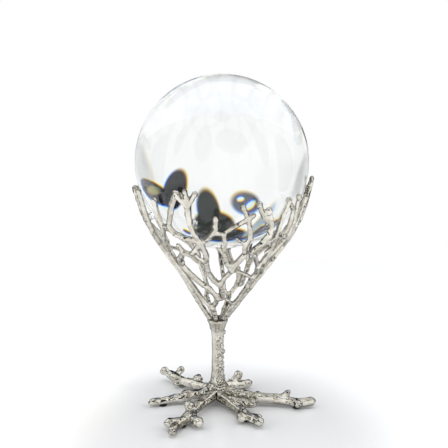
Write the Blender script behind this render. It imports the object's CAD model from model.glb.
import math

import bpy
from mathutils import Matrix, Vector, noise


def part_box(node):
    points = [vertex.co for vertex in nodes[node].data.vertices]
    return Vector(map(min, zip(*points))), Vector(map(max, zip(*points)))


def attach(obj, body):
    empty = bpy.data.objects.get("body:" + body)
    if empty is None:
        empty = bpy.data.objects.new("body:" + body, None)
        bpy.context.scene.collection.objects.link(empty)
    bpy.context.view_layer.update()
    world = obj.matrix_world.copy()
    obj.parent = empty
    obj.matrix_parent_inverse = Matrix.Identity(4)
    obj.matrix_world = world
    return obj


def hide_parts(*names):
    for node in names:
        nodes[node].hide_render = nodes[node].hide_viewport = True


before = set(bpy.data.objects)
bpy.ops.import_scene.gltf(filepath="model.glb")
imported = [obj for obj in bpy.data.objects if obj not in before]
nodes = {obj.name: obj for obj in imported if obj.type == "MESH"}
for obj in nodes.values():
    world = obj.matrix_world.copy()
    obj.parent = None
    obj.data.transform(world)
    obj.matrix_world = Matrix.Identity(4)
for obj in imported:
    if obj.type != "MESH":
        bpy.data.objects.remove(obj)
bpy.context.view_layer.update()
mm = 0.001


def middle(node):  # centre of a CAD node's box
    low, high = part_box(node)
    return (low + high) / 2


def pick(piece):  # only this is selected, and it is active
    bpy.ops.object.select_all(action="DESELECT")
    piece.select_set(True)
    bpy.context.view_layer.objects.active = piece


def modify(piece, kind, **settings):  # add a modifier and apply it
    modifier = piece.modifiers.new(kind.title(), kind)
    for name, value in settings.items():
        setattr(modifier, name, value)
    pick(piece)
    bpy.ops.object.modifier_apply(modifier=modifier.name)


def copyOf(node, name):  # a CAD node's mesh as a new piece, its loose triangles merged
    piece = bpy.data.objects.new(name, nodes[node].data.copy())
    bpy.context.scene.collection.objects.link(piece)
    piece.data.materials.clear()
    pick(piece)
    bpy.ops.object.mode_set(mode="EDIT")
    bpy.ops.mesh.select_all(action="SELECT")
    bpy.ops.mesh.remove_doubles(threshold=0.001 * mm)
    bpy.ops.object.mode_set(mode="OBJECT")
    return piece


def raisedBy(piece, height):  # every point moves out along its normal by height(point), in metres
    points = [vertex.co.copy() for vertex in piece.data.vertices]
    normals = [normal.vector.copy() for normal in piece.data.vertex_normals]
    moved = []
    for point, normal in zip(points, normals):
        moved.extend(point + normal * height(point))
    piece.data.vertices.foreach_set("co", moved)
    piece.data.update()


def fit(piece, finish, body, node):  # a finished piece takes the place of its CAD node
    piece.data.materials.append(finish)
    pick(piece)
    bpy.ops.object.shade_smooth()
    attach(piece, body)
    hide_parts(node)


class Flow:  # a socket, or the start of a node tree, that sums can be written with
    def __init__(self, tree, socket=None):
        self.tree = tree
        self.socket = socket

    def make(self, kind, settings, inputs, output=0):
        made = self.tree.nodes.new(kind)
        for name, value in settings.items():
            setattr(made, name, value)
        for name, value in inputs.items():
            if isinstance(value, Flow):
                self.tree.links.new(value.socket, made.inputs[name])
            else:
                made.inputs[name].default_value = value
        return Flow(self.tree, made.outputs[output])

    def math(self, operation, *values):
        return self.make("ShaderNodeMath", {"operation": operation}, dict(enumerate(values)))

    def __add__(self, other):
        return self.math("ADD", self, other)

    def __sub__(self, other):
        return self.math("SUBTRACT", self, other)

    def __mul__(self, other):
        return self.math("MULTIPLY", self, other)

    def __truediv__(self, other):
        return self.math("DIVIDE", self, other)

    __radd__ = __add__
    __rmul__ = __mul__

    def ramp(self, low, high):  # 0 below low, 1 above high, smooth between
        return self.make("ShaderNodeMapRange", {"interpolation_type": "SMOOTHSTEP"},
                         {"Value": self, "From Min": low, "From Max": high})

    def tint(self, low, high):  # the colour low where this is 0, high where it is 1
        colours = {0: self}
        for place, colour in ((6, low), (7, high)):
            colours[place] = colour if isinstance(colour, Flow) else (*colour, 1)
        return self.make("ShaderNodeMix", {"data_type": "RGBA"}, colours, 2)

    def noise(self, size, detail=3, roughness=0.55, stretch=(1, 1, 1), place=(0, 0, 0)):
        moved = self.make("ShaderNodeMapping", {}, {
            "Vector": self, "Scale": stretch, "Location": place})
        return self.make("ShaderNodeTexNoise", {}, {
            "Vector": moved, "Scale": 1 / size, "Detail": detail, "Roughness": roughness})

    def cells(self, size):
        return self.make("ShaderNodeTexVoronoi", {}, {"Vector": self, "Scale": 1 / size})

    def bump(self, depth, strength):
        return self.make("ShaderNodeBump", {}, {
            "Height": self, "Distance": depth, "Strength": strength})


def material(name):  # a new material with an empty tree, its output and its object coordinates
    made = bpy.data.materials.new(name)
    made.use_nodes = True
    made.node_tree.nodes.clear()
    output = made.node_tree.nodes.new("ShaderNodeOutputMaterial")
    place = Flow(made.node_tree).make("ShaderNodeTexCoord", {}, {}, 3)
    return made, output.inputs["Surface"], place


def show(shader, surface):
    shader.tree.links.new(shader.socket, surface)


nickel = {
    "bright": (0.75, 0.725, 0.655),
    "warm": (0.60, 0.565, 0.49),
    "crevice": (0.10, 0.095, 0.085),
    "glint": (0.025, 0.025, 0.022),
    "side": (0.115, 0.112, 0.10),
    "hollows": (0.40, 0.485),   # how bent inwards the surface is where crevices start and end
    "knobs": (0.505, 0.55),     # how bent outwards where glints start and are full
    "turned": (0.30, 0.76),     # how far turned away where the sides start and are full
    "spotEdge": 0.035,
    "smoothest": 0.03,
}


def nickelPlate(name, pit, pitDepth, polished, worn, streak, streakFrom):
    made, surface, place = material(name)
    blotch = place.noise(7 * mm, 4).ramp(0.38, 0.66)
    grain = place.noise(0.9 * mm, 5, 0.65)
    pits = place.cells(pit).ramp(0.05, 0.55)
    bent = place.make("ShaderNodeNewGeometry", {}, {}, 7)   # under a half in hollows, over on knobs
    plate = blotch.tint(nickel["warm"], nickel["bright"])
    plate = bent.ramp(*nickel["hollows"]).tint(nickel["crevice"], plate)
    spots = place.noise(streak, 2, 0.5, (1, 1, 1), (0.3, 0.1, 0.7))
    spots = spots.ramp(streakFrom, streakFrom + nickel["spotEdge"])
    knobs = bent.ramp(*nickel["knobs"])
    plate = (spots * knobs).tint(plate, nickel["glint"])
    turned = place.make("ShaderNodeLayerWeight", {}, {"Blend": 0.5}, 1) + (grain - 0.5) * 0.5
    plate = turned.ramp(*nickel["turned"]).tint(plate, nickel["side"])
    rough = blotch * (polished - worn) + worn + (grain - 0.5) * 0.12
    height = pits * 0.6 + grain * 0.4
    show(place.make("ShaderNodeBsdfPrincipled", {}, {
        "Base Color": plate,
        "Metallic": 1.0,
        "Roughness": rough.math("MAXIMUM", rough, nickel["smoothest"]),
        "Normal": height.bump(pitDepth, 0.5),
    }), surface)
    return made


coralPlate = nickelPlate("coral nickel", 1.5 * mm, 0.05 * mm, 0.04, 0.14, 2.2 * mm, 0.562)
barkPlate = nickelPlate("bark nickel", 0.8 * mm, 0.18 * mm, 0.05, 0.18, 1.2 * mm, 0.58)
rootPlate = nickelPlate("root nickel", 1.6 * mm, 0.06 * mm, 0.03, 0.10, 3.4 * mm, 0.53)
print("metal materials made")


coral = {
    "voxel": 0.36 * mm,
    "web": 0.42 * mm,       # metal that fills the forks
    "swell": -0.18 * mm,    # below nothing makes the twigs thinner
    "lumps": 0.26 * mm,
    "lumpSize": 3.1 * mm,
    "beads": 0.42 * mm,
    "beadSize": 4.2 * mm,   # how far apart the buds are
    "beadReach": 0.42,      # a bud's radius as a share of that
    "beadsFrom": 0.05,      # higher gives fewer buds
}


relax = {"factor": 0.5, "iterations": 6}


def cast(node, name, sizes):  # a CAD casting with its forks webbed and its surface rounded
    piece = copyOf(node, name)
    modify(piece, "REMESH", mode="VOXEL", voxel_size=sizes["voxel"])
    raisedBy(piece, lambda point: sizes["web"])
    modify(piece, "REMESH", mode="VOXEL", voxel_size=sizes["voxel"])
    modify(piece, "SMOOTH", **relax)
    raisedBy(piece, lambda point: sizes["swell"] - sizes["web"])
    return piece


def beads(point):  # a few round buds, 0 to 1
    distances, centres = noise.voronoi(point / coral["beadSize"])
    keep = noise.noise(centres[0] * 7.3) > coral["beadsFrom"]
    return max(0.0, 1 - (distances[0] / coral["beadReach"]) ** 2) if keep else 0.0


def lumpsAt(point, size, octaves):
    return noise.fractal(point / size, 1.0, 2.0, octaves)


def coralSkin(point):
    lumps = lumpsAt(point, coral["lumpSize"], 3)
    return coral["lumps"] * lumps + coral["beads"] * beads(point)


for side in ("front", "front_right", "right", "left", "back_right", "back_left"):
    fan = cast("cup_" + side, "coral_" + side, coral)
    raisedBy(fan, coralSkin)
    modify(fan, "SMOOTH", factor=0.4, iterations=1)
    fit(fan, coralPlate, "stand", "cup_" + side)
    print("coral", side, len(fan.data.polygons))


bark = {
    "voxel": 0.24 * mm,
    "web": 0.3 * mm,
    "swell": 0.12 * mm,
    "pits": 0.75 * mm,
    "pitSize": 1.9 * mm,
    "streaks": 0.12 * mm,
    "streakSize": 1.1 * mm,
    "crumbs": 0.2 * mm,
    "crumbSize": 1.1 * mm,
    "from": -12,            # degrees from the front: bark on this side, smooth on the other
    "to": 160,
    "blend": 22,            # degrees over which bark turns smooth
    "bareTop": 7 * mm,      # no bark this far down from the head
    "fadeTop": 6 * mm,
}
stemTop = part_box("stem")[1].z
stemAxis = middle("root_hub").xy


def between(value):  # held to 0 to 1
    return min(max(value, 0), 1)


def barkShare(point):  # 1 on the bark, 0 on the smooth side, soft between
    turn = math.degrees(math.atan2(point.x - stemAxis.x, stemAxis.y - point.y))
    inside = min(turn - bark["from"], bark["to"] - turn) / bark["blend"]
    headRoom = (stemTop - bark["bareTop"] - point.z) / bark["fadeTop"]
    return between(inside + 0.5) * between(headRoom)


def stemSkin(point):
    stretched = Vector((point.x, point.y, point.z * 0.6)) / bark["pitSize"]
    distances, centres = noise.voronoi(stretched)
    chunk = min(distances[1] - distances[0], 0.5) * 2 - 0.45
    tall = Vector((point.x, point.y, point.z * 0.12)) / bark["streakSize"]
    streak = noise.noise(tall)
    share = barkShare(point)
    rough = bark["pits"] * chunk + bark["crumbs"] * lumpsAt(point, bark["crumbSize"], 2)
    return share * rough + (1 - share) * bark["streaks"] * streak


trunk = cast("stem", "stem_trunk", bark)
raisedBy(trunk, stemSkin)
modify(trunk, "SMOOTH", factor=0.3, iterations=1)
fit(trunk, barkPlate, "stand", "stem")
print("stem", len(trunk.data.polygons))


rootCast = {
    "voxel": 0.36 * mm,
    "web": 0.5 * mm,
    "swell": 0.13 * mm,
    "lumps": 0.5 * mm,
    "lumpSize": 5 * mm,
    "flat": 2 * mm,         # no lumps below this height, where the pads lie
    "fade": 1.5 * mm,
}
hubCast = {"voxel": 0.3 * mm, "web": 0.1 * mm, "swell": 0.2 * mm}


def rootSkin(point):
    lumps = lumpsAt(point, rootCast["lumpSize"], 3)
    return between((point.z - rootCast["flat"]) / rootCast["fade"]) * rootCast["lumps"] * lumps


for side in ("left", "back_left", "front_left", "front_right", "right", "back_right"):
    root = cast("root_" + side, "root_cast_" + side, rootCast)
    raisedBy(root, rootSkin)
    fit(root, rootPlate, "stand", "root_" + side)
    print("root", side, len(root.data.polygons))

hub = cast("root_hub", "hub_cast", hubCast)
raisedBy(hub, rootSkin)
fit(hub, rootPlate, "stand", "root_hub")


def zincSteel():
    made, surface, place = material("zinc steel")
    brushed = place.noise(0.6 * mm, 4, 0.6, (1, 1, 0.15))
    show(place.make("ShaderNodeBsdfPrincipled", {}, {
        "Base Color": brushed.tint((0.42, 0.43, 0.45), (0.62, 0.63, 0.64)),
        "Metallic": 1.0,
        "Roughness": brushed * 0.25 + 0.22,
        "Normal": brushed.bump(0.02 * mm, 0.5),
    }), surface)
    return made


steel = zincSteel()
for node in ("base_screw", "base_washer"):
    nodes[node].data.materials.clear()
    nodes[node].data.materials.append(steel)

silicone = {"index": 1.41, "edge": 0.12 * mm, "edgeFrom": math.radians(40)}


def clearSilicone():
    made, surface, place = material("clear silicone")
    dust = place.noise(0.5 * mm, 3)
    show(place.make("ShaderNodeBsdfPrincipled", {}, {
        "Base Color": dust.tint((0.93, 0.94, 0.95), (0.98, 0.985, 0.99)),
        "Roughness": dust * 0.15 + 0.08,
        "Transmission Weight": 1.0,
        "IOR": silicone["index"],
        "Normal": dust.bump(0.01 * mm, 0.3),
    }), surface)
    return made


clear = clearSilicone()
for node in sorted(nodes):
    if node.startswith(("pad_", "bumper_")):
        soft = copyOf(node, "clear_" + node)
        modify(soft, "BEVEL", width=silicone["edge"], segments=3, angle_limit=silicone["edgeFrom"])
        fit(soft, clear, "stand", node)
print("steel and silicone made")

glass = {
    "index": 1.517,
    "segments": 128,
    "rings": 96,
}
ballLow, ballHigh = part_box("crystal_ball")
ballMiddle = (ballLow + ballHigh) / 2
ballRadius = (ballHigh.z - ballLow.z) / 2


def crystal():
    made, surface, place = material("clear crystal")
    haze = place.noise(15 * mm, 4, 0.6, (1, 1, 0.45)).ramp(0.42, 0.62)
    polish = place.noise(9 * mm, 2)
    show(place.make("ShaderNodeBsdfGlass", {}, {
        "Color": haze.tint((0.915, 0.925, 0.925), (0.942, 0.945, 0.945)),
        "IOR": glass["index"],
        "Roughness": 0.0,
        "Normal": polish.bump(0.004 * mm, 0.3),
    }), surface)
    return made


bpy.ops.object.select_all(action="DESELECT")
bpy.ops.mesh.primitive_uv_sphere_add(
    segments=glass["segments"], ring_count=glass["rings"], radius=ballRadius, location=ballMiddle)
ball = bpy.context.object
ball.name = "crystal_sphere"
bpy.ops.object.transform_apply(location=True, rotation=True, scale=True)
modify(ball, "SUBSURF", levels=1, render_levels=1)
trueSphere = []
for vertex in ball.data.vertices:  # every point back on the true sphere
    trueSphere.extend(ballMiddle + (vertex.co - ballMiddle).normalized() * ballRadius)
ball.data.vertices.foreach_set("co", trueSphere)
ball.data.update()
ball.visible_shadow = False
fit(ball, crystal(), "ball", "crystal_ball")
print("ball", len(ball.data.polygons))


studio = {
    "floorSize": 0.6,
    "sheet": 1.0,               # how bright the paper behind looks
    "room": (1.12, 1.125, 1.12),
    "pool": (0, -50 * mm, 0),   # middle of the grey pool at the feet
    "poolEdge": (60 * mm, 125 * mm),
    "glow": 0.27,               # how much the paper outside the pool shines
}


def paper():
    made, surface, place = material("white paper floor")
    fibre = place.noise(2 * mm, 3)
    apart = place.make("ShaderNodeVectorMath", {"operation": "DISTANCE"},
                       {0: place, 1: studio["pool"]}, 1)
    glow = apart.ramp(*studio["poolEdge"])
    show(place.make("ShaderNodeBsdfPrincipled", {}, {
        "Base Color": fibre.tint((0.86, 0.865, 0.885), (0.89, 0.895, 0.91)),
        "Roughness": 0.13,
        "Specular IOR Level": 0.5,
        "Emission Color": glow.tint((0.0, 0.0, 0.0), (1.0, 1.0, 1.0)),
        "Emission Strength": studio["glow"],
    }), surface)
    return made


bpy.ops.object.select_all(action="DESELECT")
bpy.ops.mesh.primitive_plane_add(size=studio["floorSize"], location=(0, 0, 0))
floor = bpy.context.object
floor.name = "floor"
floor.data.materials.append(paper())

# Cards round the object: azimuth from straight behind towards +X, elevation, half width and half
# height in degrees, tilt, how soft the edge is, and the colour.
cards = [
    (-62, 3, 19, 12, 20, 0.4, (0.70, 0.70, 0.69)),
    (57, -2, 20, 12, -20, 0.5, (0.76, 0.76, 0.76)),
    (0, 60, 75, 17, 0, 0.3, (0.62, 0.62, 0.61)),
    (0, 54, 14, 12, 0, 0.6, (1.0, 0.99, 0.94)),
    (2, 34, 18, 10, 0, 0.2, (0.035, 0.042, 0.038)),
    (4, 24, 11, 12, 0, 0.2, (0.035, 0.042, 0.038)),
    (6, 14, 5.5, 13, 3, 0.25, (0.035, 0.042, 0.038)),
    (-29, 36, 21, 8, 8, 0.3, (0.03, 0.045, 0.10)),
    (-11, 9, 8, 5.5, -40, 0.4, (0.10, 0.12, 0.15)),
    (-13, 10, 2, 3, -40, 0.5, (0.85, 0.95, 1.0)),
    (-8, 6, 1.6, 1.2, 0, 0.5, (0.95, 0.97, 1.0)),
    (-22, 25, 4, 14, -25, 0.6, (0.45, 0.56, 0.62)),
    (23, 5, 13, 6, 58, 0.2, (0.012, 0.012, 0.015)),
    (42, 9.5, 20, 7, 0, 0.2, (0.012, 0.012, 0.018)),
    (41, 8, 8, 2.6, 15, 0.7, (0.36, 0.33, 0.13)),
    (25, 35, 3, 3, 0, 0.6, (0.05, 0.05, 0.05)),
    (-88, -2, 14, 30, 6, 0.25, (0.03, 0.03, 0.03)),
    (90, -2, 14, 30, -6, 0.25, (0.03, 0.03, 0.03)),
    (166, 36, 24, 16, 12, 0.25, (0.01, 0.01, 0.01)),
    (-152, 33, 13, 24, -10, 0.25, (0.01, 0.01, 0.01)),
    (180, 70, 26, 8, 0, 0.25, (0.01, 0.01, 0.01)),
    (-160, -34, 14, 7, 20, 0.3, (0.02, 0.02, 0.02)),
    (145, -30, 12, 7, -20, 0.3, (0.02, 0.02, 0.02)),
    (122, 30, 8, 30, 0, 0.25, (0.015, 0.015, 0.015)),
    (-116, 38, 7, 28, 0, 0.25, (0.015, 0.015, 0.015)),
]
fringes = (0.985, 1.0, 1.03)   # red, green and blue see the cards at slightly different sizes
axis = -14                     # elevation the fringes spread from
backHalf = 60                  # cards further round than this have no fringes
world = bpy.data.worlds.new("studio")
bpy.context.scene.world = world
world.use_nodes = True
tree = world.node_tree
tree.nodes.clear()
start = Flow(tree)
direction = start.make("ShaderNodeTexCoord", {}, {}, 0)
parts = [start.make("ShaderNodeSeparateXYZ", {}, {0: direction}, item) for item in range(3)]
azimuth = start.math("ARCTAN2", parts[0], parts[1]) * math.degrees(1)
elevation = start.math("ARCSINE", parts[2]) * math.degrees(1)
bands = []
for channel, scale in enumerate(fringes):
    band = start.math("ADD", studio["room"][channel], 0.0)
    across = azimuth * scale
    up = (elevation - axis) * scale + axis
    for around, above, wide, high, tilt, soft, colour in cards:
        behind = abs(around) < backHalf
        aside = start.math("WRAP", (across if behind else azimuth) - around, 180.0, -180.0)
        over = (up if behind else elevation) - above
        turn = math.radians(tilt)
        along = (aside * math.cos(turn) + over * math.sin(turn)) / wide
        off = (over * math.cos(turn) - aside * math.sin(turn)) / high
        far = along * along + off * off
        mask = far.ramp(1 - soft, 1 + soft)
        band = mask * (band - colour[channel]) + colour[channel]
    bands.append(band)
light = start.make("ShaderNodeCombineColor", {}, dict(enumerate(bands)))
seen = start.make("ShaderNodeLightPath", {}, {}, 0)
light = seen.tint(light, (studio["sheet"],) * 3)
backdrop = start.make("ShaderNodeBackground", {}, {"Color": light, "Strength": 1.0})
output = tree.nodes.new("ShaderNodeOutputWorld")
tree.links.new(backdrop.socket, output.inputs["Surface"])


def softbox(name, place, aim, size, power):
    bpy.ops.object.light_add(type="AREA", location=place)
    lamp = bpy.context.object
    lamp.name = name
    lamp.data.shape = "RECTANGLE"
    lamp.data.size, lamp.data.size_y = size
    lamp.data.energy = power
    lamp.visible_camera = False
    lamp.visible_glossy = False
    lamp.visible_transmission = False
    lamp.rotation_euler = (Vector(aim) - Vector(place)).to_track_quat("-Z", "Y").to_euler()


softbox("softbox_top", (0.0, -0.1, 1.1), (0, 0, 0.05), (0.9, 0.7), 3)
softbox("softbox_left", (-0.9, -0.45, 0.5), (0, 0, 0.1), (0.35, 0.7), 2)
softbox("softbox_right", (0.9, -0.3, 0.6), (0, 0, 0.1), (0.3, 0.7), 2)

view = {
    "place": Vector((3.85, -507.8, 236.8)) * mm,   # from the floor under the stem
    "pitch": 13.985,                                # degrees down
    "lens": 71.96,
    "sensor": 36,
}
bpy.ops.object.camera_add(
    location=Vector((*stemAxis, 0)) + view["place"],
    rotation=(math.radians(90 - view["pitch"]), 0, 0))
camera = bpy.context.object
camera.data.lens = view["lens"]
camera.data.sensor_width = view["sensor"]
bpy.context.scene.camera = camera
bpy.context.scene.view_settings.view_transform = "Standard"
bpy.context.scene.view_settings.look = "None"
print("stage made")
